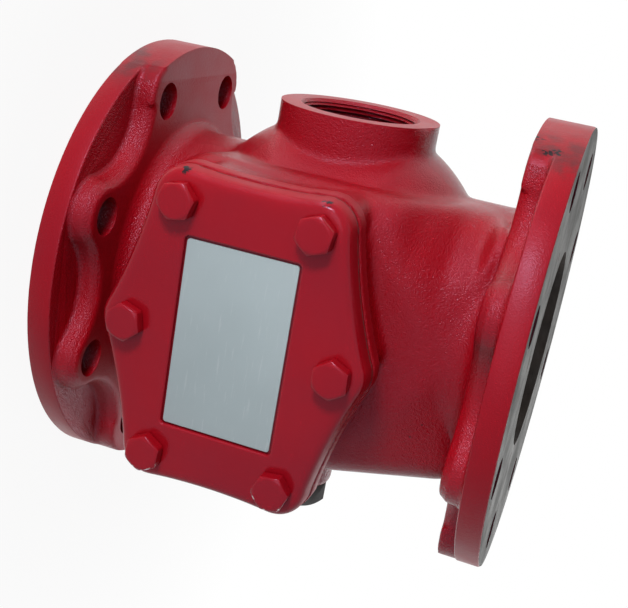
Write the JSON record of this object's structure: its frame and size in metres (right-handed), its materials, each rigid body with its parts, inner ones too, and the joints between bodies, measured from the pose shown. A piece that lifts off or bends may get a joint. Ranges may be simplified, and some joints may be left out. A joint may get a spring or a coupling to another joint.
{
  "type": "sprinkler alarm valve",
  "caption": "Flanged cast-iron wet pipe alarm check valve with a bolted handhole cover, a hinged spring-loaded clapper on a grooved bronze seat, a main drain boss and trim ports.",
  "frame": {"origin": "centre of the inlet flange's gasket face", "axes": "+Z along the flow from the inlet to the outlet, up the riser; the handhole cover faces -Y; the main drain boss faces -X"},
  "size_m": [0.2286, 0.2362, 0.229],
  "materials": {
    "red_paint": "glossy deep red enamel over a cast surface",
    "bolt_paint": "glossy red enamel, chipped to bare steel at the corners",
    "gasket": "dull black sheet gasket",
    "seat_bronze": "turned bronze",
    "clapper_bronze": "sand-cast bronze",
    "facing_rubber": "smooth black rubber",
    "steel": "turned stainless steel",
    "plug_iron": "dark bare iron",
    "plate": "satin pale blue-grey metal plate, bare"
  },
  "bodies": {
    "valve": {"body": "red_paint", "seat_gasket": "gasket", "seat_ring": "seat_bronze", "cover": "red_paint", "cover_gasket": "gasket", "cover_bolts": "bolt_paint", "name_plate": "plate", "hinge_pin": "steel", "lug_bushes": "seat_bronze", "pin_retaining_rings": "steel", "clapper_spring": "steel", "side_port_plug": "plug_iron", "supply_gauge_plug": "plug_iron", "system_gauge_plug": "plug_iron"},
    "clapper": {"clapper": "clapper_bronze", "clapper_facing": "facing_rubber", "facing_plate": "steel", "facing_bolt": "steel", "facing_washer": "steel", "facing_nut": "steel", "clapper_bushes": "seat_bronze"}
  },
  "joints": [
    {"name": "clapper_swing", "type": "hinge", "parent": "valve", "child": "clapper", "pos_m": [0, -0.064, 0.082], "axis": [1, 0, 0], "range_deg": [0, 68], "stiffness_Nm_per_rad": 0.1, "springref_deg": -45.84, "deforming": ["clapper_spring"]}
  ]
}
